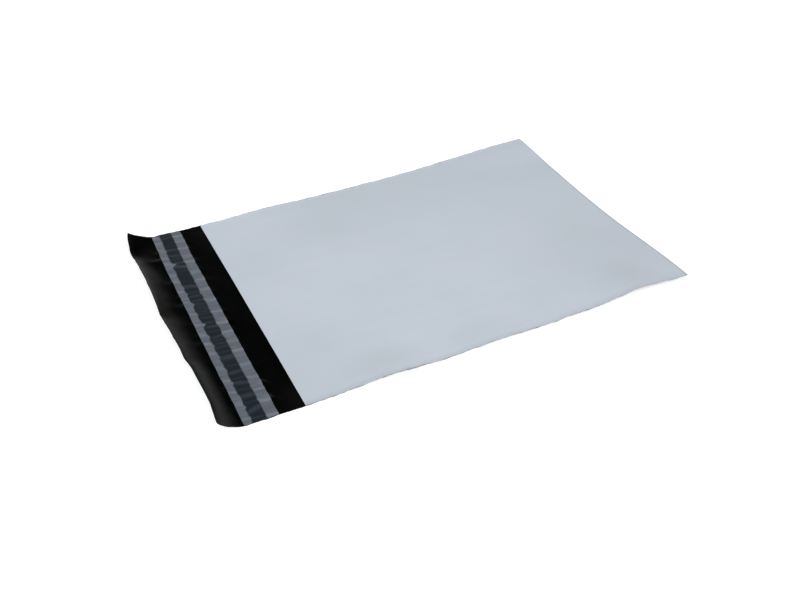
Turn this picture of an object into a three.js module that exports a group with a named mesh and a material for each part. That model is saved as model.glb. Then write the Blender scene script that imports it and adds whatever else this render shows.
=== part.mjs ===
// An empty poly mailer (courier bag) lying flat, front panel up, in millimetres, +Z up.
// One web of film is folded once at the bottom and welded along both sides by a hot knife.
// The back panel runs on past the mouth as the closing lip, which curls up at its free edge.
// Across the lip lies a strip of hot-melt adhesive, covered by a release liner.
// The origin is on the table under the middle of the panel. -X points to the lip, +X to the fold.
import * as THREE from "three";
import { mergeVertices } from "three/addons/utils/BufferGeometryUtils.js";

// Panel, 7 x 9 in
const bagWidth = 177.8;
const panelLength = 228.6; // from the mouth edge to the bottom fold
const filmThickness = 0.06;

// Lip, 46 mm along the film: bare film, the liner over the adhesive, then film that is free to curl
const linerInset = 13.6; // from the mouth edge
const mouthSideBorder = 5.7; // liner between its first edge and the adhesive
const adhesiveWidth = 7.2;
const freeSideBorder = 4.4; // liner past the adhesive
const freeEdgeWidth = 15.1;

// Side weld, where the hot knife melts the two plies together and leaves a small bead
const weldWidth = 0.7;
const weldBeadHeight = 0.1;

// Air left between the two plies
const middleGap = 1.5;
const mouthGap = 0.7;
const foldGap = 0.4;
const gapFlatness = 2.6; // how far the gap stays level before it closes at the side welds
const gapRampLength = 70; // from the mouth or the fold to the full gap

// Adhesive and its liner
const linerThickness = 0.05;
const stripEndClearance = 0.1; // both stop this far short of the side weld
const adhesiveThickness = 0.12;
const adhesiveRaggedness = 0.45; // how far its edges wander
const linerShoulder = 1.2; // length over which the liner comes down beside the adhesive
const seatClearance = 0.03; // between film, adhesive and liner

// Crosswise puckers that the cooling adhesive pulls into the liner
const ribPitch = 5.4;
const ribHeight = 0.4;
const samplesPerRib = 3;

// Curl of the lip's free edge, in degrees turned, and how much more it turns at the two sides.
// A side of -1 is the near edge and 1 is the far edge, here and below.
const curlMargin = 0.6; // the curl starts this far past the liner
const curlAngle = 28;
const sideCurls = [
  { side: -1, angle: 44, reach: 110 },
  { side: 1, angle: 34, reach: 20 },
];

// Where the sheet is lifted off the table, each as a smooth hill that ends at its reach
const lifts = [
  { fromFold: 0, side: -1, height: 3.4, reachAlong: 140, reachAcross: 84 },
  { fromFold: 0, side: 1, height: 2.1, reachAlong: 140, reachAcross: 86 },
  { fromFold: 0, side: 1, height: 2.5, reachAlong: 96, reachAcross: 32 },
  { fromFold: 33, side: -1, height: 2.3, reachAlong: 24, reachAcross: 20 },
  { fromMouth: 46, side: -1, height: 1.9, reachAlong: 36, reachAcross: 26 },
  { fromMouth: 104, side: -1, height: 1.2, reachAlong: 40, reachAcross: 24 },
  { fromMouth: 42, side: 1, height: 0.8, reachAlong: 30, reachAcross: 22 },
];

// How finely the surfaces are cut into facets
const panelStep = 8;
const acrossStep = 7.6;
const foldSegments = 4;
const curlSegments = 7;

// Colours: the film's inner layer is black, and shows this share of the outside's brightness
const filmGrey = new THREE.Color("rgb(192, 199, 208)");
const adhesiveDark = new THREE.Color("rgb(32, 40, 50)");
const linerGrey = new THREE.Color("rgb(102, 107, 117)");
const outsideTint = 1;
const insideTint = 0.003;

const halfWidth = bagWidth / 2;
const weldLine = halfWidth - weldWidth;
const adhesiveStart = linerInset + mouthSideBorder;
const adhesiveEnd = adhesiveStart + adhesiveWidth;
const linerEnd = adhesiveEnd + freeSideBorder;
const lipLength = linerEnd + freeEdgeWidth;
const curlStart = linerEnd + curlMargin;
const curlLength = lipLength - curlStart;

const point = (x, y, z) => new THREE.Vector3(x, y, z);

// 1 at the centre, falling smoothly to 0 at a distance of 1 and beyond
const hill = (distance) => (distance < 1 ? (1 + Math.cos(Math.PI * distance)) / 2 : 0);

// 0 at 0, rising smoothly to 1 at 1 and beyond
const ramp = (share) => 1 - hill(THREE.MathUtils.clamp(share, 0, 1));

// Numbers from a to b, both included, about step apart
function spaced(a, b, step) {
  const count = Math.max(1, Math.round(Math.abs(b - a) / step));
  return Array.from({ length: count + 1 }, (_, i) => a + ((b - a) * i) / count);
}

// Height of the back panel's underside over the table, u from the mouth and v across
function liftAt(u, v) {
  return lifts.reduce((sum, lift) => {
    const centre = lift.fromFold === undefined ? lift.fromMouth : panelLength - lift.fromFold;
    const along = (u - centre) / lift.reachAlong;
    const across = (v - lift.side * halfWidth) / lift.reachAcross;
    return sum + lift.height * hill(Math.hypot(along, across));
  }, 0);
}

// Air gap between the plies, nothing at the side welds
function gapAt(u, v) {
  const shareAcross = Math.min(1, Math.abs(v) / weldLine);
  const fromMouth = mouthGap + (middleGap - mouthGap) * ramp(u / gapRampLength);
  const fromFold = foldGap + (middleGap - foldGap) * ramp((panelLength - u) / gapRampLength);
  return Math.min(fromMouth, fromFold) * (1 - shareAcross ** gapFlatness);
}

// Melted bead that stands up along both side edges
function beadAt(v) {
  const share = (Math.abs(v) - weldLine) / weldWidth;
  return share > 0 ? weldBeadHeight * Math.sin(share * Math.PI * 0.8) : 0;
}

// Degrees that the film has turned at the lip's free edge
function curlAngleAt(v) {
  return sideCurls.reduce(
    (sum, curl) => sum + curl.angle * hill(Math.abs(v - curl.side * halfWidth) / curl.reach),
    curlAngle,
  );
}

// Point of the lip's underside at s along the film from the mouth, and its normal into the bag
function lipAt(s, v) {
  const radius = curlLength / THREE.MathUtils.degToRad(curlAngleAt(v));
  const turned = Math.max(0, s - curlStart) / radius;
  const flat = Math.min(s, curlStart);
  const at = point(
    -panelLength / 2 - flat - radius * Math.sin(turned),
    v,
    radius * (1 - Math.cos(turned)),
  );
  return { at, normal: point(Math.sin(turned), 0, Math.cos(turned)) };
}

// Facets of one closed solid, added as grids of points
class Facets {
  positions = [];
  tints = [];

  // rows[i][j]: the facets face along (next row) x (next column), or the other way if turned
  grid(rows, tint = outsideTint, turned = false) {
    for (let i = 0; i + 1 < rows.length; i++)
      for (let j = 0; j + 1 < rows[i].length; j++) {
        const [a, b, c, d] = [rows[i][j], rows[i + 1][j], rows[i + 1][j + 1], rows[i][j + 1]];
        this.triangle(a, b, c, tint, turned);
        this.triangle(a, c, d, tint, turned);
      }
  }

  triangle(a, b, c, tint, turned) {
    const tiny = 1e-3;
    if (a.distanceTo(b) < tiny || b.distanceTo(c) < tiny || a.distanceTo(c) < tiny) return;
    for (const corner of turned ? [a, c, b] : [a, b, c]) {
      this.positions.push(corner.x, corner.y, corner.z);
      this.tints.push(tint, tint, tint);
    }
  }

  mesh(name, color, roughness) {
    const geometry = new THREE.BufferGeometry();
    geometry.setAttribute("position", new THREE.Float32BufferAttribute(this.positions, 3));
    geometry.setAttribute("color", new THREE.Float32BufferAttribute(this.tints, 3));
    const merged = mergeVertices(geometry, 1e-4);
    merged.computeVertexNormals();
    const material = new THREE.MeshStandardMaterial({ color, roughness, vertexColors: true });
    const mesh = new THREE.Mesh(merged, material);
    mesh.name = name;
    return mesh;
  }
}

// Columns across the bag: the cavity's, and with the side welds added
const cavityColumns = spaced(-weldLine, weldLine, acrossStep);
const weldColumns = [0.5, 1].map((share) => weldLine + weldWidth * share);
const allColumns = [...weldColumns.map((v) => -v).reverse(), ...cavityColumns, ...weldColumns];

// The bag: a hairpin of film from the mouth edge round the fold and back to the lip's free edge
function makeFilm() {
  const stations = spaced(0, panelLength - filmThickness - foldGap / 2, panelStep);
  const lastStation = stations.at(-1);
  const turns = spaced(0, Math.PI, Math.PI / foldSegments).slice(1, -1);
  const lipStations = [
    ...spaced(0, curlStart, panelStep).slice(1),
    ...spaced(curlStart, lipLength, curlLength / curlSegments).slice(1),
  ];

  // Each function gives one row of points across the bag
  const rowOf = (columns, make) => columns.map(make);
  const frontOuter = (u) => (v) =>
    point(u - panelLength / 2, v, liftAt(u, v) + 2 * filmThickness + gapAt(u, v) + beadAt(v));
  const frontInner = (u) => (v) =>
    point(u - panelLength / 2, v, liftAt(u, v) + filmThickness + gapAt(u, v));
  const backInner = (u) => (v) =>
    point(u - panelLength / 2, v, liftAt(u, v) + filmThickness + beadAt(v));
  const backOuter = (u) => (v) => point(u - panelLength / 2, v, liftAt(u, v));
  const foldPoint = (turn, skin) => (v) => {
    const innerRadius = gapAt(lastStation, v) / 2;
    const radius = innerRadius + skin;
    return point(
      lastStation - panelLength / 2 + radius * Math.sin(turn),
      v,
      liftAt(lastStation, v) + innerRadius + filmThickness + radius * Math.cos(turn),
    );
  };
  const lipOuter = (s) => (v) => lipAt(s, v).at;
  const lipInner = (s) => (v) => {
    const { at, normal } = lipAt(s, v);
    return at.addScaledVector(normal, filmThickness + beadAt(v));
  };

  const backStations = [...stations].reverse();
  const facets = new Facets();

  // Outer skin, all the way round
  facets.grid(
    [
      ...stations.map((u) => rowOf(allColumns, frontOuter(u))),
      ...turns.map((turn) => rowOf(allColumns, foldPoint(turn, filmThickness))),
      ...backStations.map((u) => rowOf(allColumns, backOuter(u))),
      ...lipStations.map((s) => rowOf(allColumns, lipOuter(s))),
    ],
    outsideTint,
  );

  // Inner skin: the cavity between the welds, then the whole width of the lip
  facets.grid(
    [
      ...stations.map((u) => rowOf(cavityColumns, frontInner(u))),
      ...turns.map((turn) => rowOf(cavityColumns, foldPoint(turn, 0))),
      ...backStations.map((u) => rowOf(cavityColumns, backInner(u))),
    ],
    insideTint,
    true,
  );
  facets.grid(
    [0, ...lipStations].map((s) => rowOf(allColumns, lipInner(s))),
    insideTint,
    true,
  );

  // Cut edges of the film: the mouth of the front panel, then the lip's free edge
  facets.grid(
    [
      allColumns.map((v) => (Math.abs(v) > weldLine ? lipInner(0)(v) : frontInner(0)(v))),
      rowOf(allColumns, frontOuter(0)),
    ],
    outsideTint,
  );
  facets.grid(
    [rowOf(allColumns, lipOuter(lipLength)), rowOf(allColumns, lipInner(lipLength))],
    outsideTint,
  );

  // Side edges of the welds and of the lip
  for (const side of [-1, 1]) {
    const v = side * halfWidth;
    const foldEdge = turns.slice(0, foldSegments / 2).map((turn) => {
      const over = foldPoint(turn, filmThickness)(v);
      const under = foldPoint(Math.PI - turn, filmThickness)(v);
      return [over, over.clone().lerp(under, 0.5), under];
    });
    facets.grid(
      [...stations.map((u) => [frontOuter(u)(v), backInner(u)(v), backOuter(u)(v)]), ...foldEdge],
      outsideTint,
      side < 0,
    );
    facets.grid(
      [0, ...lipStations].map((s) => [lipOuter(s)(v), lipInner(s)(v)]),
      insideTint,
      side < 0,
    );
  }
  return facets.mesh("mailer_film", filmGrey, 0.45);
}

// Height of the puckers at v, uneven as they are on the real strip
function ribAt(v) {
  const wander = 0.9 * Math.sin(v / 9.7) + 0.6 * Math.sin(v / 3.9 + 1);
  const wave = Math.sin((2 * Math.PI * v) / ribPitch + wander);
  return ribHeight * (0.5 + 0.5 * wave) * (0.75 + 0.25 * Math.sin(v / 13 + 2));
}

// How far the adhesive's edge wanders at v
const raggedAt = (v, phase) =>
  adhesiveRaggedness * (0.6 * Math.sin(v / 1.9 + phase) + 0.4 * Math.sin(v / 5.3 + 2 * phase));

// A strip laid on the flat of the lip: top and bottom are profiles of [s, height over the film]
function makeStrip(name, profileAt, color, roughness) {
  const end = weldLine - stripEndClearance;
  const columns = spaced(-end, end, ribPitch / samplesPerRib);
  const place = (v) => ([s, height]) =>
    point(-panelLength / 2 - s, v, filmThickness + height);
  const tops = columns.map((v) => profileAt(v).top.map(place(v)));
  const bottoms = columns.map((v) => profileAt(v).bottom.map(place(v)));
  const facets = new Facets();
  facets.grid(tops);
  facets.grid(bottoms, outsideTint, true);
  facets.grid(tops.map((top, i) => [bottoms[i].at(0), top.at(0)]));
  facets.grid(tops.map((top, i) => [top.at(-1), bottoms[i].at(-1)]));
  facets.grid([bottoms.at(0), tops.at(0)]);
  facets.grid([tops.at(-1), bottoms.at(-1)]);
  return facets.mesh(name, color, roughness);
}

// Adhesive: flat underneath, ribbed on top, with ragged sides
function adhesiveProfile(v) {
  const start = adhesiveStart + raggedAt(v, 0);
  const end = adhesiveEnd + raggedAt(v, 2);
  const stations = [start, (start + end) / 2, end];
  const height = seatClearance + adhesiveThickness + ribAt(v);
  return {
    top: stations.map((s) => [s, height]),
    bottom: stations.map((s) => [s, seatClearance]),
  };
}

// Liner: over the adhesive in the middle, down on the film at both borders
function linerProfile(v) {
  const over = 2 * seatClearance + adhesiveThickness + ribAt(v);
  const beside = seatClearance + ribAt(v) * 0.35;
  const outline = [
    [linerInset, seatClearance],
    [adhesiveStart - adhesiveRaggedness - linerShoulder, beside],
    [adhesiveStart - adhesiveRaggedness, over],
    [adhesiveEnd + adhesiveRaggedness, over],
    [adhesiveEnd + adhesiveRaggedness + linerShoulder, beside],
    [linerEnd, seatClearance],
  ];
  return {
    top: outline.map(([s, height]) => [s, height + linerThickness]),
    bottom: outline,
  };
}

const bag = new THREE.Group();
bag.add(makeFilm());
bag.add(makeStrip("adhesive_strip", adhesiveProfile, adhesiveDark, 0.3));
bag.add(makeStrip("release_liner", linerProfile, linerGrey, 0.35));

export default bag;
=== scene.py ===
import math

import bmesh
import bpy
import numpy as np
from mathutils import Matrix, Vector


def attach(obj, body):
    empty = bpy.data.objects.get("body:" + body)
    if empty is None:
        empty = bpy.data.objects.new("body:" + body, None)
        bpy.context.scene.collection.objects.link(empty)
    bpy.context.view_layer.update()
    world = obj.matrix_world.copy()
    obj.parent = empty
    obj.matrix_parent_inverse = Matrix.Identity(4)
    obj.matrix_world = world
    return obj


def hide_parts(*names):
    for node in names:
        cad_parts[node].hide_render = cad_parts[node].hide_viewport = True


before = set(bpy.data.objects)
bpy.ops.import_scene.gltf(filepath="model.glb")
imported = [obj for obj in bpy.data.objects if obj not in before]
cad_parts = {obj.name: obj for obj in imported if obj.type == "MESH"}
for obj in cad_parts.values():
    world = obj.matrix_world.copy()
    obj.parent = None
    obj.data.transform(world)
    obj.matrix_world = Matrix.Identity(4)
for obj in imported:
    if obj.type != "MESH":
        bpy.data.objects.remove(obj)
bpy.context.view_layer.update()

# Camera, fitted to the corners and edges of the photographed bag
CAMERA_TARGET = (-0.037585, -0.033555, 0.0)
CAMERA_DISTANCE = 0.52904
CAMERA_AZIMUTH = -25.22
CAMERA_ELEVATION = 37.32
CAMERA_ROLL = -0.888
CAMERA_LENS = 43.476
CAMERA_SENSOR = 36
CAMERA_CLIP_START = 0.01


def make_camera():
    camera = bpy.data.objects.new("camera", bpy.data.cameras.new("camera"))
    bpy.context.scene.collection.objects.link(camera)
    camera.data.sensor_width = CAMERA_SENSOR
    camera.data.lens = CAMERA_LENS
    camera.data.clip_start = CAMERA_CLIP_START
    camera.matrix_world = (
        Matrix.Translation(CAMERA_TARGET)
        @ Matrix.Rotation(math.radians(CAMERA_AZIMUTH), 4, "Z")
        @ Matrix.Rotation(math.radians(90 - CAMERA_ELEVATION), 4, "X")
        @ Matrix.Rotation(math.radians(CAMERA_ROLL), 4, "Z")
        @ Matrix.Translation((0, 0, CAMERA_DISTANCE))
    )
    bpy.context.scene.camera = camera


make_camera()

# Sizes that repeat the CAD source
BAG_WIDTH = 177.8
PANEL_LENGTH = 228.6
FILM = 0.06
LINER_INSET = 13.6
MOUTH_SIDE_BORDER = 5.7
ADHESIVE_WIDTH = 7.2
FREE_SIDE_BORDER = 4.4
FREE_EDGE_WIDTH = 15.1
WELD_WIDTH = 0.7
WELD_BEAD = 0.1
MIDDLE_GAP = 1.5
MOUTH_GAP = 0.7
FOLD_GAP = 0.4
GAP_FLATNESS = 2.6
GAP_RAMP = 70
CURL_MARGIN = 0.6

# How far the strips end from the bag's edge
STRIP_EDGE = 0.2

HALF_WIDTH = BAG_WIDTH / 2
WELD_LINE = HALF_WIDTH - WELD_WIDTH
ADHESIVE_START = LINER_INSET + MOUTH_SIDE_BORDER
ADHESIVE_END = ADHESIVE_START + ADHESIVE_WIDTH
LINER_END = ADHESIVE_END + FREE_SIDE_BORDER
LIP_LENGTH = LINER_END + FREE_EDGE_WIDTH
CURL_START = LINER_END + CURL_MARGIN
STRIP_HALF = HALF_WIDTH - STRIP_EDGE
STRIP_MIDDLE = (ADHESIVE_START + ADHESIVE_END) / 2


# Shared shapes

NOISE_WAVES = 16


def hill(distance):
    """1 at 0, falling smoothly to 0 at 1 and beyond."""
    return (1 + np.cos(np.pi * np.clip(distance, 0, 1))) / 2


def ramp(share):
    """0 at 0, rising smoothly to 1 at 1 and beyond."""
    return 1 - hill(share)


def mound(a, b, height, at_a, at_b, reach_a, reach_b):
    """A smooth round hill over a plane."""
    return height * hill(np.hypot((a - at_a) / reach_a, (b - at_b) / reach_b))


def slope(a, height, start, length):
    """A smooth rise to a height."""
    return height * ramp((a - start) / length)


def waves(a, b, noise):
    """Smooth noise over a plane, about 1 in size. A noise is a seed and two wavelengths."""
    seed, shortest, longest = noise
    rng = np.random.default_rng(seed)
    total = 0
    for _ in range(NOISE_WAVES):
        length = math.exp(rng.uniform(math.log(shortest), math.log(longest)))
        angle, phase = rng.uniform(0, 2 * math.pi, 2)
        along = a * math.cos(angle) + b * math.sin(angle)
        total = total + np.sin(2 * math.pi * along / length + phase)
    return total / math.sqrt(NOISE_WAVES / 2)


def side_waves(u, v, noise, apart):
    """Noise along the sides of the bag, taken from places far apart so that they differ."""
    return waves(u, np.sign(v) * apart, noise)


def rows_of(a, b, step):
    """Numbers from a to b, both included, about step apart."""
    return np.linspace(a, b, max(1, round(abs(b - a) / step)) + 1)


def edge_distance(v):
    return HALF_WIDTH - np.abs(v)


# The panel

# Mounds that lift the sheet off the table: height, u, v, reach along, reach across
LIFTS = [
    (3.4, PANEL_LENGTH, -HALF_WIDTH, 140, 84),
    (2.1, PANEL_LENGTH, HALF_WIDTH, 140, 86),
    (2.5, PANEL_LENGTH, HALF_WIDTH, 96, 32),
    (2.2, PANEL_LENGTH - 33, -HALF_WIDTH, 25, 32),
    (1.9, 46, -HALF_WIDTH, 36, 26),
    (1.2, 104, -HALF_WIDTH, 40, 24),
    (0.8, 42, HALF_WIDTH, 30, 22),
]

# Puckers at the side welds: noise, height, how much of the noise they show, reach, and how
# far they fade in from either end
WELD_NOISE = (5, 7, 17)
WELD_PUCKER_HEIGHT = 0.22
WELD_PUCKER_LEVEL = 0.3
WELD_PUCKER_SWING = 0.5
WELD_PUCKER_REACH = 7
WELD_FADE_AT_MOUTH = 12
WELD_FADE_AT_FOLD = 10

# Share of a half turn that the section of the weld's bead spans
BEAD_ARC = 0.8

# Waves of the front panel, and how they flatten towards the welds, the fold and the mouth
PANEL_WAVES = (11, 45, 130)
PANEL_WAVE_HEIGHT = 0.13
PANEL_RIPPLES = (12, 12, 24)
PANEL_RIPPLE_HEIGHT = 0.012
RELIEF_FLATNESS = 4
RELIEF_FADE_AT_FOLD = 25
RELIEF_FADE_AT_MOUTH = 30
RELIEF_LEFT_AT_MOUTH = 0.4

# Soft creases in the front panel: u and v of both ends, height, half width
CREASES = [
    ((52, 44), (104, 38), 0.10, 5),
    ((96, 22), (158, 34), 0.13, 6),
    ((128, -8), (176, 6), 0.10, 6),
    ((30, -58), (84, -66), 0.12, 7),
    ((150, -52), (214, -70), 0.16, 7),
    ((170, 52), (218, 70), 0.14, 7),
    ((14, 6), (60, -4), 0.08, 6),
]
CREASE_FADE = 14

# How far the hot-cut sides stray, over how wide a border
EDGE_WANDER = (8, 6, 24)
EDGE_JAGS = (9, 2.8, 5)
EDGE_STRAY = 0.1
EDGE_BORDER = 2

# Mound by which the far end of the fold draws in
FAR_CORNER_TUCK = (1.1, PANEL_LENGTH, HALF_WIDTH, 14, 28)


def weld_ripple(u, v):
    """Small puckers that run in from the hot-cut side welds."""
    near = np.exp(-edge_distance(v) / WELD_PUCKER_REACH)
    wave = side_waves(u, v, WELD_NOISE, apart=400) * WELD_PUCKER_SWING + WELD_PUCKER_LEVEL
    wave = np.maximum(0, wave)
    total = WELD_PUCKER_HEIGHT * wave * near * ramp(u / WELD_FADE_AT_MOUTH)
    return total * ramp((PANEL_LENGTH - u) / WELD_FADE_AT_FOLD)


def lift_at(u, v):
    """How high the underside lies over the table."""
    total = weld_ripple(u, v)
    for lift in LIFTS:
        total = total + mound(u, v, *lift)
    return total


def gap_at(u, v):
    """Air between the two plies."""
    share = np.minimum(1, np.abs(v) / WELD_LINE)
    from_mouth = MOUTH_GAP + (MIDDLE_GAP - MOUTH_GAP) * ramp(u / GAP_RAMP)
    from_fold = FOLD_GAP + (MIDDLE_GAP - FOLD_GAP) * ramp((PANEL_LENGTH - u) / GAP_RAMP)
    return np.minimum(from_mouth, from_fold) * (1 - share**GAP_FLATNESS)


def bead_at(v):
    """How far the bead of melted film stands up at the side welds."""
    share = np.clip((np.abs(v) - WELD_LINE) / WELD_WIDTH, 0, 1)
    return WELD_BEAD * np.sin(share * np.pi * BEAD_ARC)


def crease_at(u, v, first, last, height, half):
    """One soft crease, which fades out at both of its ends."""
    du, dv = last[0] - first[0], last[1] - first[1]
    length = math.hypot(du, dv)
    along = ((u - first[0]) * du + (v - first[1]) * dv) / length
    across = ((v - first[1]) * du - (u - first[0]) * dv) / length
    ends = ramp(along / CREASE_FADE) * ramp((length - along) / CREASE_FADE)
    return height * ends * hill(np.abs(across) / half)


def panel_relief(u, v):
    """Waves and soft creases of the front panel alone, nothing at the side welds."""
    total = PANEL_WAVE_HEIGHT * waves(u, v, PANEL_WAVES)
    total = total + PANEL_RIPPLE_HEIGHT * waves(u, v, PANEL_RIPPLES)
    for crease in CREASES:
        total = total + crease_at(u, v, *crease)
    share = np.minimum(1, np.abs(v) / WELD_LINE)
    total = total * (1 - share**RELIEF_FLATNESS)
    total = total * ramp((PANEL_LENGTH - u) / RELIEF_FADE_AT_FOLD)
    risen = ramp(u / RELIEF_FADE_AT_MOUTH)
    return total * (RELIEF_LEFT_AT_MOUTH + (1 - RELIEF_LEFT_AT_MOUTH) * risen)


def edge_wander(u, v):
    """How far the hot-cut side edge strays from straight."""
    near = np.exp(-edge_distance(v) / EDGE_BORDER)
    slow = EDGE_STRAY * side_waves(u, v, EDGE_WANDER, apart=300)
    quick = EDGE_STRAY * side_waves(u, v, EDGE_JAGS, apart=300)
    return near * (slow + quick)


def placed(u, v, z):
    """Points in millimetres in the part's frame."""
    x = u - PANEL_LENGTH / 2 - mound(u, v, *FAR_CORNER_TUCK)
    return np.stack(np.broadcast_arrays(x, v + edge_wander(u, v), z), axis=-1)


def front_outer(u, v):
    rise = gap_at(u, v) + panel_relief(u, v)
    return placed(u, v, lift_at(u, v) + 2 * FILM + rise + bead_at(v))


def front_inner(u, v):
    rise = gap_at(u, v) + panel_relief(u, v)
    return placed(u, v, lift_at(u, v) + FILM + rise)


def back_inner(u, v):
    return placed(u, v, lift_at(u, v) + FILM + bead_at(v))


def back_outer(u, v):
    return placed(u, v, lift_at(u, v))


def fold_point(u, v, turn, skin):
    """Point of the bottom fold, at an angle round it and a height of skin over its inside."""
    inner = gap_at(u, v) / 2
    reach = (inner + skin) * math.sin(turn)
    height = inner + FILM + (inner + skin) * math.cos(turn)
    point = placed(u, v, lift_at(u, v) + height)
    point[..., 0] += reach
    return point


# Folds of the lip's film

# Pockets beside the liner where the curling film is gathered: where each starts and is deepest,
# both in v, how far it reaches past the liner, and its height
POCKETS = [
    (-88, -61, 3.2, 0.32),
    (-58, -40, 2.2, 0.22),
    (-37, -23, 5.0, 0.5),
    (-20, -15.5, 4.2, 0.3),
    (-14, -5, 4.6, 0.42),
    (0, 13.2, 6.6, 0.52),
    (16.5, 21.5, 3.8, 0.36),
    (25, 36.5, 6.6, 0.5),
    (45, 61.5, 8.6, 0.68),
    (65, 69.5, 4.2, 0.34),
]
POCKET_POWER = 1.3
POCKET_FALL = 4.5
POCKET_RISE = 5
POCKET_NARROW_END = 0.25

# Puckers at the mouth side of the liner: seed, and ranges of their sizes. The lengths and
# heights are shares of the longest and of the highest.
PUCKER_SEED = 4
PUCKER_SPACING = (7, 15)
PUCKER_SLANT = (-1.7, -0.9)
PUCKER_LONGEST = 8
PUCKER_LENGTHS = (0.5, 1)
PUCKER_HALF = (2.4, 4.2)
PUCKER_HIGHEST = 0.4
PUCKER_HEIGHTS = (0.35, 1)
PUCKER_FIRST = -HALF_WIDTH + 3
PUCKER_LAST = HALF_WIDTH - 4

# How they taper to a point, how far under the liner they start, and where they are up to
# twice as high
PUCKER_POWER = 1.4
PUCKER_WIDENING = 1.1
PUCKER_NARROWING = 0.5
PUCKER_START = 3.5
PUCKER_DEEPEST = -68
PUCKER_DEEP_REACH = 34

# Ribs that the cooling adhesive pulls across the strip: v, half width, slant
RIBS = [
    (-86, 0.6, 0.1), (-80, 2.3, -0.3), (-74.5, 0.5, 0.1), (-69.5, 2.0, 0.1), (-64.5, 0.5, 0.2),
    (-59.3, 1.8, 0.3), (-55.4, 0.5, 0.1), (-50.5, 1.7, 0.0), (-45, 0.6, 0.2), (-38, 2.4, 0.1),
    (-33, 0.5, 0.1), (-28.6, 0.9, 0.1), (-25.6, 0.8, 0.2), (-22.6, 0.5, 0.2), (-19.6, 1.1, 0.0),
    (-14.5, 0.5, 0.2), (-10.3, 1.4, 0.2), (-6.2, 0.9, 0.3), (-1.4, 0.8, 0.3), (2.2, 0.5, 0.1),
    (4.8, 0.6, 0.2), (7.2, 0.7, 0.3), (9.3, 0.6, 0.35), (11.6, 0.8, 0.3), (15.2, 1.0, 0.1),
    (19.8, 1.2, 0.1), (23.6, 0.6, 0.1), (29.6, 2.1, 0.3), (46.6, 0.4, 0.2), (50.8, 2.3, 0.35),
    (55.2, 1.0, 0.2), (59.4, 0.5, 0.2), (63.2, 1.4, 0.3), (69.6, 1.1, 0.2), (83.6, 0.9, 0.1),
    (86.6, 0.7, 0.1),
]
RIB_REACH = 8
RIB_LOWEST = 0.08
RIB_GROWTH = 0.07
RIB_FOOT = 0.5

# Shares of a rib's height that the film has, and that the strip adds
RIBS_IN_FILM = 0.55
RIBS_IN_STRIP = 0.45

# Pleats of the liner beside the adhesive, between the wider ribs: v, half width
PLEATS = [
    (-85.5, 1.9), (-74.5, 2.4), (-65.5, 1.5), (-55.8, 1.7), (-45.2, 2.3), (-33, 1.6),
    (-24.6, 1.7), (-16.2, 1.6), (-7.4, 1.9), (3.2, 1.3), (14.6, 1.9), (25.5, 1.8), (35.8, 1.3),
    (43.8, 2.5), (55.6, 1.8), (61.4, 1.9), (70.5, 1.4), (78.8, 1.9), (84.6, 1.5),
]
PLEAT_SLANT = 0.22

# Relief of the lip: how far in it rises from the sides and the mouth, and its share at the sides
RELIEF_SIDE = 1.2
RELIEF_MOUTH = 5
RELIEF_AT_SIDES = 0.2


def pockets_at(s, v):
    """Slanting folds that rise slowly from the near side and drop off on the far side."""
    total = 0
    for first, peak, reach, height in POCKETS:
        share = np.clip((v - first) / (peak - first), 0, 1)
        rise = share**POCKET_POWER * hill(np.maximum(0, v - peak) / POCKET_FALL)
        widened = POCKET_NARROW_END + (1 - POCKET_NARROW_END) * share
        out = np.clip((s - LINER_END) / (reach * widened), 0, 1)
        start = ramp((s - LINER_END + POCKET_RISE) / POCKET_RISE)
        total = total + height * rise * (1 - out) * start
    return total


def mouth_puckers():
    """Tapered puckers that start at the mouth side of the liner and slant out to a point."""
    rng = np.random.default_rng(PUCKER_SEED)
    found, v = [], PUCKER_FIRST
    while v < PUCKER_LAST:
        found.append(
            {
                "v": v,
                "slant": rng.uniform(*PUCKER_SLANT),
                "length": rng.uniform(*PUCKER_LENGTHS) * PUCKER_LONGEST,
                "half": rng.uniform(*PUCKER_HALF),
                "height": rng.uniform(*PUCKER_HEIGHTS) * PUCKER_HIGHEST,
            }
        )
        v += rng.uniform(*PUCKER_SPACING)
    return found


PUCKERS = mouth_puckers()


def puckers_at(s, v):
    total = 0
    out = LINER_INSET - s
    for one in PUCKERS:
        share = np.clip(out / one["length"], 0, 1)
        rise = ramp((out + PUCKER_START) / PUCKER_START) * (1 - share) ** PUCKER_POWER
        half = one["half"] * (PUCKER_WIDENING - PUCKER_NARROWING * share)
        centre = one["v"] + one["slant"] * out
        total = total + one["height"] * rise * hill(np.abs(v - centre) / half)
    return total * (1 + hill(np.abs(v - PUCKER_DEEPEST) / PUCKER_DEEP_REACH))


def ribs_at(s, v):
    total = 0
    along = hill(np.abs(s - STRIP_MIDDLE) / RIB_REACH)
    for centre, half, slant in RIBS:
        across = np.abs(v - centre - slant * (s - STRIP_MIDDLE))
        height = RIB_LOWEST + RIB_GROWTH * half
        total = total + height * along * hill(across / (half + RIB_FOOT))
    return total


def pleats_at(s, v):
    total = 0
    for centre, half in PLEATS:
        across = v - centre - PLEAT_SLANT * (s - STRIP_MIDDLE)
        total = total + hill(np.abs(across) / half)
    return total


def lip_relief(s, v):
    """How far the lip's film stands off its smooth surface."""
    ends = ramp(edge_distance(v) / RELIEF_SIDE) * (1 - RELIEF_AT_SIDES) + RELIEF_AT_SIDES
    folds = RIBS_IN_FILM * ribs_at(s, v) + puckers_at(s, v) + pockets_at(s, v)
    return folds * ends * ramp(s / RELIEF_MOUTH)


# Shape of the lip

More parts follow.
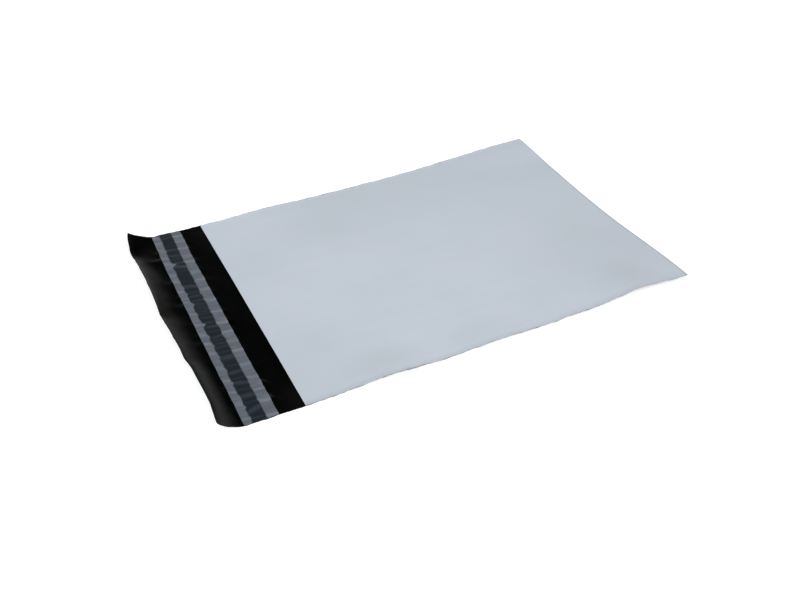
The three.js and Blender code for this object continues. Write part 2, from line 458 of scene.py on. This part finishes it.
# Degrees that the lip turns at its free edge, from the near side to the far one: v and turn.
# It changes quickly at two creases, where the curled film has buckled.
CURL = [
    (-88.9, 60), (-85, 62.5), (-81, 69), (-76, 75), (-64, 73), (-54, 69), (-47, 67), (-42, 62),
    (-36, 53), (-26, 54), (-14, 46), (-7, 42), (0, 36), (4, 30), (7, 28.5), (12, 34), (22, 40),
    (38, 43), (50, 41), (61, 33), (70, 22), (88.9, 19),
]
CURL_AT, CURL_TURN = zip(*CURL)
CURL_BLUR = 1.2
CURL_STEPS = 61

# Share of that turn at each share of the curl's length: it bends most beside the liner and
# at the end
CURL_SHARE = [0, 0.06, 0.2, 0.38, 0.55, 0.7, 0.85, 1]
TURN_SHARE = [0, 0.13, 0.34, 0.44, 0.5, 0.57, 0.77, 1]

# The curl starts earlier on the near side
EARLY_CURL = 1.2
EARLY_CURL_REACH = 12

# The free edge isn't cut quite straight, and runs further out beside the far corner
FREE_EDGE_NOISE = (22, 3, 26)
FREE_EDGE_STRAY = 0.08
CORNER_BULGE = 1.4
BULGE_INSET = 4
BULGE_REACH = 12

# Mound by which the far side lifts beside the strip
FAR_RISE = (0.4, 28, HALF_WIDTH, 16, 14)

# The far corner is turned up past a slanting line: s on the far edge, v on the free edge
CORNER_S = 27
CORNER_V = 73.5
CORNER_RADIUS = 4
CORNER_TURN = math.radians(36)


def curl_turn_at(v):
    near, middle, far = (
        np.interp(v + offset, CURL_AT, CURL_TURN) for offset in (-CURL_BLUR, 0, CURL_BLUR)
    )
    return np.radians((near + middle + far) / 3)


def curl_path(turn, share):
    """How far the curl goes along and up, in its own lengths, and the angle it has reached."""
    steps = np.linspace(0, 1, CURL_STEPS)
    along = up = 0
    for a, b in zip(steps, steps[1:]):
        angle = turn * np.interp((a + b) / 2, CURL_SHARE, TURN_SHARE)
        length = np.clip(share, a, b) - a
        along = along + length * np.cos(angle)
        up = up + length * np.sin(angle)
    turned = turn * np.interp(share, CURL_SHARE, TURN_SHARE)
    past = np.maximum(0, share - 1)
    return along + past * np.cos(turned), up + past * np.sin(turned), turned


def free_edge_wander(v):
    """How far the free edge strays from straight."""
    bulge = CORNER_BULGE * hill(np.abs(v - HALF_WIDTH + BULGE_INSET) / BULGE_REACH)
    return FREE_EDGE_STRAY * waves(v, 0, FREE_EDGE_NOISE) + bulge


def corner_bend(s, v, rise):
    """How far back and up the far corner's bend takes a point, and the line's two legs."""
    legs = np.array([LIP_LENGTH - CORNER_S, HALF_WIDTH - CORNER_V])
    line = math.hypot(*legs)
    depth = (legs[1] * (s - LIP_LENGTH) + legs[0] * (v - HALF_WIDTH) + legs.prod()) / line
    bent = np.clip(depth / CORNER_RADIUS, 0, CORNER_TURN)
    past = np.maximum(0, depth - CORNER_RADIUS * CORNER_TURN)
    back = CORNER_RADIUS * (np.sin(bent) - bent) + past * (np.cos(bent) - 1)
    up = CORNER_RADIUS * (1 - np.cos(bent)) + past * np.sin(bent) + rise * np.cos(bent)
    back = back - rise * np.sin(bent)
    return back * legs[1] / line, back * legs[0] / line, up


def lip_point(s, v, skin):
    """Point at a height of skin over the underside of the lip."""
    curled = ramp((s - CURL_START) / (LIP_LENGTH - CURL_START))
    s, v = np.broadcast_arrays(s + free_edge_wander(v) * curled, v)
    start = CURL_START - EARLY_CURL * hill((v + HALF_WIDTH) / EARLY_CURL_REACH)
    length = LIP_LENGTH - start
    along, height, turned = curl_path(curl_turn_at(v), np.maximum(0, s - start) / length)
    rise = skin + mound(s, v, *FAR_RISE) + lip_relief(s, v)

    # The corner bends about its slanting line, on top of the curl
    slide, aside, up = corner_bend(s, v, rise)
    x = -np.minimum(s, start) - length * along - slide * np.cos(turned) + up * np.sin(turned)
    z = length * height + slide * np.sin(turned) + up * np.cos(turned)
    return placed(x, v + aside, z)


def lip_outer(s, v):
    return lip_point(s, v, 0)


def lip_inner(s, v):
    return lip_point(s, v, FILM + bead_at(v))


# Meshes

MILLIMETRES = 1000
MERGE_DISTANCE = 1e-6
SHORTEST_EDGE = 1e-7
SHARP_ANGLE = math.radians(40)

# Looks of the two sides of the film. A strip has only the first.
OUTSIDE, INSIDE = 0, 1


class Shell:
    """Grids of points in millimetres that close into one body."""

    def __init__(self):
        self.points, self.faces, self.looks, self.count = [], [], [], 0

    def row_ids(self, row):
        self.points.append(np.asarray(row, float).reshape(-1, 3))
        ids = np.arange(self.count, self.count + len(row))
        self.count += len(row)
        return ids

    def grid(self, rows, look=OUTSIDE, turned=False):
        """Faces look along (next row) x (next column), or the other way if turned."""
        ids = [self.row_ids(row) for row in rows]
        for a, b in zip(ids, ids[1:]):
            quads = np.stack([a[:-1], b[:-1], b[1:], a[1:]], axis=1)
            self.add((quads[:, ::-1] if turned else quads).tolist(), look)

    def stitch(self, coarse, fine, steps, look=OUTSIDE, turned=False):
        """Joins a row to a finer one. Each step is the fine faces beside one coarse face."""
        a, b = self.row_ids(coarse), self.row_ids(fine)
        at, faces = 0, []
        for j, step in enumerate(steps):
            face = [a[j], *b[at : at + step + 1], a[j + 1]]
            faces.append([int(i) for i in (face[::-1] if turned else face)])
            at += step
        self.add(faces, look)

    def add(self, faces, look):
        self.faces += faces
        self.looks += [look] * len(faces)

    def build(self, name, materials):
        mesh = bpy.data.meshes.new(name)
        points = np.concatenate(self.points) / MILLIMETRES
        mesh.from_pydata(points.tolist(), [], self.faces)
        mesh.polygons.foreach_set("material_index", self.looks)
        clean = bmesh.new()
        clean.from_mesh(mesh)
        bmesh.ops.remove_doubles(clean, verts=clean.verts, dist=MERGE_DISTANCE)
        bmesh.ops.dissolve_degenerate(clean, edges=clean.edges, dist=SHORTEST_EDGE)
        clean.to_mesh(mesh)
        clean.free()
        for material in materials:
            mesh.materials.append(material)
        mesh.polygons.foreach_set("use_smooth", [True] * len(mesh.polygons))
        mesh.set_sharp_from_angle(angle=SHARP_ANGLE)
        piece = bpy.data.objects.new(name, mesh)
        bpy.context.scene.collection.objects.link(piece)
        return piece


# The bag

# Columns across the bag, closer on the lip, and their places in the width of a weld
COLUMN_STEP = 3
LIP_SPLIT = 6
WELD_COLUMNS = [0.33, 0.66, 1.0]
INNER_COLUMNS = slice(len(WELD_COLUMNS), -len(WELD_COLUMNS))

# Rows of the panels from the mouth to the fold, angles round the fold, and rows of the lip
STATIONS = rows_of(0, PANEL_LENGTH - FILM - FOLD_GAP / 2, step=1.3)
FOLD_TURNS = np.linspace(0, math.pi, 9)[1:-1]
LIP_ROWS = rows_of(0, LIP_LENGTH, step=0.7)


def columns():
    """Columns of the cavity, of the whole bag, and the finer ones of the lip."""
    cavity = rows_of(-WELD_LINE, WELD_LINE, COLUMN_STEP)
    weld = WELD_LINE + WELD_WIDTH * np.array(WELD_COLUMNS)
    every = np.concatenate([-weld[::-1], cavity, weld])
    at_weld = [1] * len(WELD_COLUMNS)
    steps = at_weld + [LIP_SPLIT] * (len(cavity) - 1) + at_weld
    lip = [every[0]]
    for a, b, step in zip(every, every[1:], steps):
        lip += list(a + (b - a) * (np.arange(step) + 1) / step)
    return cavity, every, np.array(lip), steps


def outer_skin(shell, every, lip, steps):
    """Front panel, fold and back panel, then the underside of the lip."""
    shell.grid(
        [front_outer(u, every) for u in STATIONS]
        + [fold_point(STATIONS[-1], every, turn, FILM) for turn in FOLD_TURNS]
        + [back_outer(u, every) for u in STATIONS[:0:-1]]
    )
    shell.stitch(back_outer(STATIONS[1], every), lip_outer(0, lip), steps)
    shell.grid([lip_outer(s, lip) for s in LIP_ROWS])


def inner_skin(shell, cavity, lip, steps):
    """The black inside of the bag, which runs on over the lip."""
    shell.grid(
        [front_inner(u, cavity) for u in STATIONS]
        + [fold_point(STATIONS[-1], cavity, turn, 0) for turn in FOLD_TURNS]
        + [back_inner(u, cavity) for u in STATIONS[:0:-1]],
        INSIDE,
        turned=True,
    )
    shell.stitch(
        back_inner(STATIONS[1], cavity),
        lip_inner(0, lip[INNER_COLUMNS]),
        steps[INNER_COLUMNS],
        INSIDE,
        turned=True,
    )
    shell.grid([lip_inner(s, lip) for s in LIP_ROWS], INSIDE, turned=True)


def cut_edges(shell, every, lip):
    """The film's cut edges at the mouth and at the lip's free end."""
    welded = np.abs(every) > WELD_LINE + MERGE_DISTANCE
    mouth = np.where(welded[:, None], lip_inner(0, every), front_inner(0, every))
    shell.grid([mouth, front_outer(0, every)])
    shell.grid([lip_outer(LIP_LENGTH, lip), lip_inner(LIP_LENGTH, lip)], INSIDE)


def side_edges(shell):
    """The hot-cut sides, from the fold to the end of the lip."""
    for side in (-1, 1):
        v = np.array([side * HALF_WIDTH])
        rows = [
            np.concatenate([front_outer(u, v), back_inner(u, v), back_outer(u, v)])
            for u in STATIONS
        ]
        for turn in FOLD_TURNS[: len(FOLD_TURNS) // 2]:
            over = fold_point(STATIONS[-1], v, turn, FILM)
            under = fold_point(STATIONS[-1], v, math.pi - turn, FILM)
            rows.append(np.concatenate([over, (over + under) / 2, under]))
        shell.grid(rows, turned=side < 0)
        lip_side = [np.concatenate([lip_outer(s, v), lip_inner(s, v)]) for s in LIP_ROWS]
        shell.grid(lip_side, INSIDE, turned=side < 0)


def make_film(materials):
    """The bag as one closed web of film, with its cavity open at the mouth."""
    cavity, every, lip, steps = columns()
    shell = Shell()
    outer_skin(shell, every, lip, steps)
    inner_skin(shell, cavity, lip, steps)
    cut_edges(shell, every, lip)
    side_edges(shell)
    return shell.build("mailer_bag", materials)


# Adhesive and liner

# Notches in the adhesive's two edges: v, depth, half width
MOUTH_SIDE_NOTCHES = [
    (-66, 0.3, 1.2), (-36, 0.3, 1.2), (-18.4, 0.6, 1.2), (-8.8, 0.8, 1.8), (15, 0.7, 1.3),
    (22, 0.6, 1.8), (34, 0.4, 1.2), (56, 0.5, 1.3), (70, 0.4, 1.2),
]
FREE_SIDE_NOTCHES = [
    (-77, 0.6, 1.8), (-68, 0.5, 1.6), (-58, 0.9, 1.7), (-47, 0.7, 2), (-36, 0.9, 2.2),
    (-26, 0.7, 1.5), (-17.5, 0.7, 1.8), (-6.8, 1.9, 1.8), (13, 1.5, 2.2), (23.6, 0.5, 1.4),
    (30, 0.5, 1.4), (54.6, 2.5, 2.2), (70, 0.9, 1.3), (81, 0.4, 1.2),
]

# Raggedness of those edges, and how much wider the adhesive is on its free side
JAG_NOISE = (33, 0.9, 3)
JAG = 0.07
MOUTH_SIDE_NOISE = (31, 4, 12)
FREE_SIDE_NOISE = (32, 4, 12)
RAGGED = 0.12
FREE_SIDE_EXTRA = 0.3

# Slope by which the strip runs out of line: how far, from which v, over what length.
# The free side of the adhesive drifts further.
DRIFT = (0.7, 45, 44)
FREE_SIDE_DRIFT = 1.4

# Heights over the lip's film, and the width of the adhesive's shoulders
ADHESIVE_SEAT = 0.02
ADHESIVE_THICKNESS = 0.11
SHOULDER = 1.4
LINER_SEAT = 0.05
LINER_THICKNESS = 0.05
LINER_OVER_ADHESIVE = 0.12
PLEAT_HEIGHT = 0.3

# Looseness of the liner beside the adhesive, and the wander of its edges
LOOSE_NOISE = (41, 4, 13)
LOOSE_STRETCH = 0.4
LOOSE = 0.04
LINER_EDGE_NOISE = (42, 10, 60)
LINER_EDGE_STRAY = 0.08

# Steps of the strips' grids, and rows of the adhesive
STRIP_STEP = 0.42
ADHESIVE_ROWS = 13


def far_drift(v):
    """How far the strip runs out of line with the mouth towards its far end."""
    return slope(v, *DRIFT)


def adhesive_edges(v):
    jags = JAG * waves(v, 0, JAG_NOISE)
    start = ADHESIVE_START + RAGGED * waves(v, 0, MOUTH_SIDE_NOISE) + jags - far_drift(v)
    end = ADHESIVE_END + FREE_SIDE_EXTRA + RAGGED * waves(v, 0, FREE_SIDE_NOISE) + jags
    end = end - FREE_SIDE_DRIFT * far_drift(v)
    for at, depth, half in MOUTH_SIDE_NOTCHES:
        start = start + depth * np.maximum(0, 1 - np.abs(v - at) / half)
    for at, depth, half in FREE_SIDE_NOTCHES:
        end = end - depth * np.maximum(0, 1 - np.abs(v - at) / half)
    return start, end


def strip_point(s, v, height):
    """Point of a strip at a height over the lip's inner skin, with the ribs of its own."""
    return lip_point(s, v, FILM + bead_at(v) + height + RIBS_IN_STRIP * ribs_at(s, v))


def make_strip(name, rows_at, bottom, top, materials):
    """A closed strip across the lip. rows_at(v) gives its stations at each column."""
    v = rows_of(-STRIP_HALF, STRIP_HALF, STRIP_STEP)
    s = rows_at(v)
    low = [strip_point(row, v, bottom(row, v)) for row in s]
    high = [strip_point(row, v, top(row, v)) for row in s]
    shell = Shell()
    # Stations run towards -X, so the next row x the next column points down
    shell.grid(high, turned=True)
    shell.grid(low)
    shell.grid([high[0], low[0]])
    shell.grid([low[-1], high[-1]])
    for j, turned in ((0, True), (-1, False)):
        shell.grid([np.stack([a[j], b[j]]) for a, b in zip(low, high)], turned=turned)
    return shell.build(name, materials)


def over_adhesive(s, v):
    """1 on top of the adhesive and 0 beside it, with the shoulder between."""
    rise = ramp((s - ADHESIVE_START + SHOULDER) / SHOULDER)
    return rise * ramp((ADHESIVE_END + SHOULDER - s) / SHOULDER)


def adhesive_rows(v):
    start, end = adhesive_edges(v)
    return [start + (end - start) * share for share in np.linspace(0, 1, ADHESIVE_ROWS)]


def adhesive_bottom(s, v):
    return np.full(np.shape(s), ADHESIVE_SEAT)


def adhesive_top(s, v):
    return ADHESIVE_SEAT + ADHESIVE_THICKNESS * over_adhesive(s, v)


def liner_rows(v):
    wander = LINER_EDGE_STRAY * waves(v, 0, LINER_EDGE_NOISE) - far_drift(v)
    return [s + wander for s in rows_of(LINER_INSET, LINER_END, STRIP_STEP)]


def liner_bottom(s, v):
    billow = np.maximum(0, LOOSE + LOOSE * waves(s * LOOSE_STRETCH, v, LOOSE_NOISE))
    loose = PLEAT_HEIGHT * pleats_at(s, v) + billow
    over = over_adhesive(s, v)
    return LINER_SEAT + LINER_OVER_ADHESIVE * over + loose * (1 - over)


def liner_top(s, v):
    return liner_bottom(s, v) + LINER_THICKNESS


# Painted tones

# Melted film along the sides: noise and how much of it shows, strength at the edge, and how
# far in it fades
MELTED_NOISE = (51, 2.8, 14)
MELTED_LEVEL = 0.65
MELTED_SWING = 0.4
MELTED_LEAST = 0.1
MELTED_STRENGTH = 1.35
MELTED_FADE = 0.42

# The panel gets painted shade towards the fold and the far side, both slopes, and at its near
# corner, a mound, and along the mouth
PAINTED_SHADE_TO_FOLD = (0.52, 110, 120)
PAINTED_SHADE_TO_FAR_SIDE = (0.54, -10, 110)
PAINTED_SHADE_TO_FAR_SIDE_FROM_MOUTH = 90
PAINTED_SHADE_NEAR_CORNER = (0.3, 10, -76, 60, 60)
PAINTED_SHADE_AT_MOUTH = 0.17
PAINTED_SHADE_AT_MOUTH_REACH = 60

# The lip's black film gets a paler painted sheen past the pockets of the curl, up to a v, and
# in mounds at the mouth's two corners
PAINTED_SHEEN_FROM = 34
PAINTED_SHEEN_BY_POCKETS = 6
PAINTED_SHEEN_OVER = 5.5
PAINTED_SHEEN_UP_TO = 58
PAINTED_SHEEN_FADE = 16
PAINTED_SHEEN_NEAR_CORNER = (0.35, -2, -86, 13, 26)
PAINTED_SHEEN_FAR_CORNER = (0.15, -2, 80, 10, 30)

# Width of the painted shade along the fold's crease, and of its soft side
FOLD_SHADE = 1.2
FOLD_SHADE_FADE = 0.9

# Softness of the adhesive's edge under the liner, and the height at which a rib's painted crest
# highlight is full
WET_EDGE = 0.15
FULL_CREST_HIGHLIGHT = 0.18
CREST_HIGHLIGHT_POWER = 1.2

# Bands across the liner: painted highlights along its pleats, and stripes of random tone from a
# noise
BAND_NOISE = (44, 1.6, 9)
BAND_STRETCH = 0.2
BAND_LEVEL = 0.3
PLEAT_HIGHLIGHT = 0.55
BAND_BY_NOISE = 0.14


def paint(piece, name, value_at):
    """Stores a colour for each vertex, worked out from its u and v."""
    count = len(piece.data.vertices)
    places = np.empty(count * 3)
    piece.data.vertices.foreach_get("co", places)
    places = places.reshape(-1, 3) * MILLIMETRES
    layer = piece.data.color_attributes.new(name, "FLOAT_COLOR", "POINT")
    values = np.ones((count, 4))
    channels = value_at(places[:, 0] + PANEL_LENGTH / 2, places[:, 1])
    values[:, :3] = np.stack(np.broadcast_arrays(*channels), axis=-1)
    layer.data.foreach_set("color", values.ravel())


def melted_line(u, v):
    """Patchy line of melted film along the two sides."""
    patchy = MELTED_LEVEL + MELTED_SWING * side_waves(u, v, MELTED_NOISE, apart=200)
    patchy = np.clip(patchy, MELTED_LEAST, 1)
    return patchy * np.clip(MELTED_STRENGTH - edge_distance(v) / MELTED_FADE, 0, 1)


def panel_painted_shade(u, v):
    """How much painted shade darkens the panel against its middle."""
    to_fold = slope(u, *PAINTED_SHADE_TO_FOLD)
    to_far_side = slope(v, *PAINTED_SHADE_TO_FAR_SIDE) * ramp(u / PAINTED_SHADE_TO_FAR_SIDE_FROM_MOUTH)
    near_corner = mound(u, v, *PAINTED_SHADE_NEAR_CORNER)
    at_mouth = PAINTED_SHADE_AT_MOUTH * hill(u / PAINTED_SHADE_AT_MOUTH_REACH)
    return to_fold + to_far_side + near_corner + at_mouth


def lip_painted_sheen(u, v):
    """How much a painted sheen lightens the black film of the lip."""
    past_pockets = -u - PAINTED_SHEEN_FROM - PAINTED_SHEEN_BY_POCKETS * pockets_at(LINER_END, v)
    curled = ramp(past_pockets / PAINTED_SHEEN_OVER) * (1 - ramp((v - PAINTED_SHEEN_UP_TO) / PAINTED_SHEEN_FADE))
    return curled + mound(u, v, *PAINTED_SHEEN_NEAR_CORNER) + mound(u, v, *PAINTED_SHEEN_FAR_CORNER)


def film_paint(u, v):
    """Red: the line of melted film along the sides. Green: painted shade along the fold's crease.
    Blue: painted shade of the panel, and on the lip a painted sheen of its black film from 0.5
    up."""
    # Painted shade along the fold's crease
    crease = np.clip(FOLD_SHADE - (PANEL_LENGTH - u) / FOLD_SHADE_FADE, 0, 1)
    # Painted shade on the panel, painted sheen on the lip
    tone = np.where(u < 0, 0.5 + 0.5 * lip_painted_sheen(u, v), panel_painted_shade(u, v))
    return melted_line(u, v), crease, np.clip(tone, 0, 1)


def liner_paint(u, v):
    """Red: where the adhesive wets the liner. Green: painted highlights on the crests of the
    ribs. Blue: painted highlights along the pleats, with stripes of random tone.
    """
    s = -u
    start, end = adhesive_edges(v)
    wet = ramp((s - start + WET_EDGE) / (2 * WET_EDGE))
    wet = wet * ramp((end - s + WET_EDGE) / (2 * WET_EDGE))
    crest_highlight = np.clip(ribs_at(s, v) / FULL_CREST_HIGHLIGHT, 0, 1) ** CREST_HIGHLIGHT_POWER
    stripes = BAND_BY_NOISE * waves(s * BAND_STRETCH, v, BAND_NOISE)
    pleat_highlight_and_tone = BAND_LEVEL + PLEAT_HIGHLIGHT * pleats_at(s, v) + stripes
    return wet, crest_highlight, np.clip(pleat_highlight_and_tone, 0, 1)


# Materials

# Spans of a noise in which nearly all of it, or the middle of it, lies
MOST = (0.3, 0.7)
MIDDLE = (0.35, 0.65)
ALL = (0, 1)


def colour(red, green, blue):
    """Linear colour of an sRGB one given from 0 to 255."""
    def linear(value):
        value /= 255
        return value / 12.92 if value <= 0.04045 else ((value + 0.055) / 1.055) ** 2.4

    return (linear(red), linear(green), linear(blue), 1)


class Nodes:
    """A material's node tree, with short calls for the nodes used here."""

    def __init__(self, name):
        self.material = bpy.data.materials.new(name)
        self.material.use_nodes = True
        self.tree = self.material.node_tree
        self.shader = self.tree.nodes["Principled BSDF"]
        self.place = self.tree.nodes.new("ShaderNodeTexCoord").outputs["Object"]

    def link(self, source, target):
        self.tree.links.new(source, target)

    def stretched(self, x, y, z):
        node = self.tree.nodes.new("ShaderNodeMapping")
        node.inputs["Scale"].default_value = (x, y, z)
        self.link(self.place, node.inputs["Vector"])
        return node.outputs["Vector"]

    def noise(self, vector, scale, detail, roughness=0.5, distortion=0.0):
        node = self.tree.nodes.new("ShaderNodeTexNoise")
        node.inputs["Scale"].default_value = scale
        node.inputs["Detail"].default_value = detail
        node.inputs["Roughness"].default_value = roughness
        node.inputs["Distortion"].default_value = distortion
        self.link(vector, node.inputs["Vector"])
        return node.outputs["Fac"]

    def range(self, value, span, result=(0, 1)):
        """Turns one span of a value into another."""
        node = self.tree.nodes.new("ShaderNodeMapRange")
        keys = ("From Min", "From Max", "To Min", "To Max")
        for key, number in zip(keys, (*span, *result)):
            node.inputs[key].default_value = number
        self.link(value, node.inputs["Value"])
        return node.outputs["Result"]

    def mix(self, factor, a, b):
        """Mixes two colours. The mix node's colour sockets are found by their numbers."""
        node = self.tree.nodes.new("ShaderNodeMix")
        node.data_type = "RGBA"
        for value, socket in ((factor, node.inputs[0]), (a, node.inputs[6]), (b, node.inputs[7])):
            if isinstance(value, tuple):
                socket.default_value = value
            else:
                self.link(value, socket)
        return node.outputs[2]

    def channels(self, attribute):
        """Red, green and blue of a painted attribute."""
        node = self.tree.nodes.new("ShaderNodeAttribute")
        node.attribute_name = attribute
        split = self.tree.nodes.new("ShaderNodeSeparateColor")
        self.link(node.outputs["Color"], split.inputs["Color"])
        return split.outputs[:3]

    def seen_rays(self, strength):
        """Strength for rays that are seen, in person or in a reflection, and 0 for the light."""
        rays = self.tree.nodes.new("ShaderNodeLightPath").outputs
        total = rays["Is Camera Ray"]
        for other in (rays["Is Glossy Ray"], rays["Is Transmission Ray"]):
            add = self.tree.nodes.new("ShaderNodeMath")
            self.link(total, add.inputs[0])
            self.link(other, add.inputs[1])
            total = add.outputs[0]
        scale = self.tree.nodes.new("ShaderNodeMath")
        scale.operation = "MULTIPLY"
        scale.inputs[1].default_value = strength
        self.link(total, scale.inputs[0])
        return scale.outputs[0]

    def bump(self, height, strength, distance, normal=None):
        node = self.tree.nodes.new("ShaderNodeBump")
        node.inputs["Strength"].default_value = strength
        node.inputs["Distance"].default_value = distance
        self.link(height, node.inputs["Height"])
        if normal is not None:
            self.link(normal, node.inputs["Normal"])
        return node.outputs["Normal"]

    def finish(self, base, roughness, normal, specular=0.5):
        self.link(base, self.shader.inputs["Base Color"])
        self.link(roughness, self.shader.inputs["Roughness"])
        self.link(normal, self.shader.inputs["Normal"])
        self.shader.inputs["Specular IOR Level"].default_value = specular
        return self.material


def outside_film():
    """Pale grey satin film, drawn slightly streaky along the web, with a fine grain, and painted
    shade towards the ends of the panel and along the fold.
    """
    m = Nodes("film_outside")
    cloud = m.noise(m.place, scale=26, detail=3)
    streak = m.noise(m.stretched(9, 260, 260), scale=1, detail=3)
    melted, crease, painted_shade = m.channels("film_paint")
    clear = m.mix(m.range(cloud, MOST), colour(192, 201, 209), colour(196, 203, 213))
    # Painted shade, darker towards the fold, the far side, the near corner and the mouth
    base = m.mix(painted_shade, clear, colour(182, 190, 199))
    base = m.mix(m.range(streak, MIDDLE, (0, 0.2)), base, colour(186, 194, 204))
    base = m.mix(melted, base, colour(132, 133, 138))
    # Painted shade along the fold's crease
    base = m.mix(crease, base, colour(160, 166, 174))
    rough = m.range(cloud, MOST, (0.42, 0.5))
    grain = m.noise(m.place, scale=2600, detail=2)
    dents = m.noise(m.place, scale=120, detail=3)
    normal = m.bump(grain, strength=0.12, distance=0.00006)
    normal = m.bump(streak, strength=0.05, distance=0.0002, normal=normal)
    normal = m.bump(dents, strength=0.08, distance=0.0006, normal=normal)
    return m.finish(base, rough, normal, specular=0.3)


def inside_film():
    """Black inner layer, satin, paler with a painted sheen on the curl and at the mouth's
    corners, with drawn lines and small dents.
    """
    m = Nodes("film_inside")
    cloud = m.noise(m.place, scale=60, detail=3)
    base = m.mix(m.range(cloud, MOST), colour(1, 1, 2), colour(4, 5, 4))
    # Painted sheen: paler black on the curl past its pockets and at the mouth's corners
    painted_sheen = m.range(m.channels("film_paint")[2], (0.5, 1))
    base = m.mix(painted_sheen, base, colour(24, 24, 22))
    rough = m.range(cloud, MOST, (0.28, 0.35))
    grain = m.noise(m.place, scale=2200, detail=2)
    lines = m.noise(m.stretched(60, 190, 190), scale=1, detail=4, roughness=0.6, distortion=0.4)
    normal = m.bump(grain, strength=0.15, distance=0.00006)
    normal = m.bump(lines, strength=0.11, distance=0.0006, normal=normal)
    return m.finish(base, rough, normal, specular=0.05)


def liner_film():
    """Smoky liner: grey with painted highlights along its pleats and stripes of random tone where
    it lies loose, dark where the adhesive wets it, with painted highlights on its rib crests.
    """
    m = Nodes("release_liner")
    wet, crest_highlight, pleat_highlight_and_tone = m.channels("strip_paint")
    tint = m.range(m.noise(m.place, scale=110, detail=1), MIDDLE)
    # Painted highlights along the pleats, mixed with stripes of random tone
    loose = m.mix(pleat_highlight_and_tone, colour(86, 93, 102), colour(115, 121, 128))
    loose = m.mix(m.range(tint, ALL, (0, 0.3)), loose, colour(98, 104, 115))
    # Painted highlights on the crests of the ribs
    dark = m.mix(crest_highlight, colour(27, 34, 42), colour(48, 56, 64))
    dark = m.mix(m.range(tint, ALL, (0, 0.25)), dark, colour(33, 43, 44))
    base = m.mix(wet, loose, dark)
    rough = m.range(wet, ALL, (0.34, 0.32))
    normal = m.bump(m.noise(m.place, scale=900, detail=2), strength=0.1, distance=0.0001)
    return m.finish(base, rough, normal, specular=0.35)


def adhesive_look():
    """Hot-melt adhesive, dark over the black film and slightly uneven."""
    m = Nodes("adhesive")
    cloud = m.noise(m.place, scale=300, detail=3)
    base = m.mix(cloud, colour(24, 30, 38), colour(42, 48, 56))
    rough = m.range(cloud, MOST, (0.2, 0.34))
    normal = m.bump(cloud, strength=0.3, distance=0.0003)
    return m.finish(base, rough, normal)


# Pieces

film = make_film([outside_film(), inside_film()])
paint(film, "film_paint", film_paint)
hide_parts("mailer_film")

liner = make_strip("strip_liner", liner_rows, liner_bottom, liner_top, [liner_film()])
paint(liner, "strip_paint", liner_paint)
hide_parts("release_liner")

adhesive = make_strip(
    "strip_adhesive", adhesive_rows, adhesive_bottom, adhesive_top, [adhesive_look()]
)
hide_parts("adhesive_strip")

for piece in (film, liner, adhesive):
    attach(piece, "root")


# Table and light, in metres

# Added to the table where it is seen, so that it stays white round the bag's soft shadow
TABLE_LIFT = 0.5
TABLE_PALENESS = 0.68
TABLE_ROUGHNESS = 0.9
TABLE_SPECULAR = 0.1

# The table top lies just under the bag, and a low backdrop stands at its rim
TABLE_TOP = -0.00004
SET_RADIUS = 8
SET_CORNERS = 96
BACKDROP_HEIGHT = 1.9

# Two soft lights from far away, so that the whole table gets the same
WORLD_STRENGTH = 0.06
SUN_SPREAD = 50
KEY_DIRECTION = (-0.75, -0.6, 0.95)
KEY_STRENGTH = 2.29
FILL_DIRECTION = (0.55, -0.85, 0.95)
FILL_STRENGTH = 2.04


def table_look():
    m = Nodes("table")
    m.shader.inputs["Base Color"].default_value = (TABLE_PALENESS,) * 3 + (1,)
    m.shader.inputs["Roughness"].default_value = TABLE_ROUGHNESS
    m.shader.inputs["Specular IOR Level"].default_value = TABLE_SPECULAR
    m.shader.inputs["Emission Color"].default_value = (1, 1, 1, 1)
    m.link(m.seen_rays(TABLE_LIFT), m.shader.inputs["Emission Strength"])
    return m.material


def make_table():
    """A round white table top, with a low white backdrop all round it."""
    n = SET_CORNERS
    corners = [2 * math.pi * k / n for k in range(n)]
    ring = [(SET_RADIUS * math.cos(a), SET_RADIUS * math.sin(a)) for a in corners]
    low = [(x, y, TABLE_TOP) for x, y in ring]
    high = [(x, y, BACKDROP_HEIGHT) for x, y in ring]
    walls = [(k, k - 1, k + n - 1, k + n) for k in range(1, n)] + [(0, n - 1, 2 * n - 1, n)]
    mesh = bpy.data.meshes.new("table")
    mesh.from_pydata(low + high, [], [tuple(range(n))] + walls)
    mesh.materials.append(table_look())
    table = bpy.data.objects.new("table", mesh)
    bpy.context.scene.collection.objects.link(table)


def sun_light(name, direction, strength):
    light = bpy.data.lights.new(name, "SUN")
    light.angle = math.radians(SUN_SPREAD)
    light.energy = strength
    lamp = bpy.data.objects.new(name, light)
    lamp.rotation_mode = "QUATERNION"
    lamp.rotation_quaternion = (-Vector(direction)).to_track_quat("-Z", "Y")
    bpy.context.scene.collection.objects.link(lamp)


def make_world():
    world = bpy.data.worlds.new("studio")
    world.use_nodes = True
    background = world.node_tree.nodes["Background"]
    background.inputs["Color"].default_value = (1, 1, 1, 1)
    background.inputs["Strength"].default_value = WORLD_STRENGTH
    bpy.context.scene.world = world


make_table()
make_world()
sun_light("key", KEY_DIRECTION, KEY_STRENGTH)
sun_light("fill", FILL_DIRECTION, FILL_STRENGTH)

bpy.context.scene.view_settings.view_transform = "Standard"
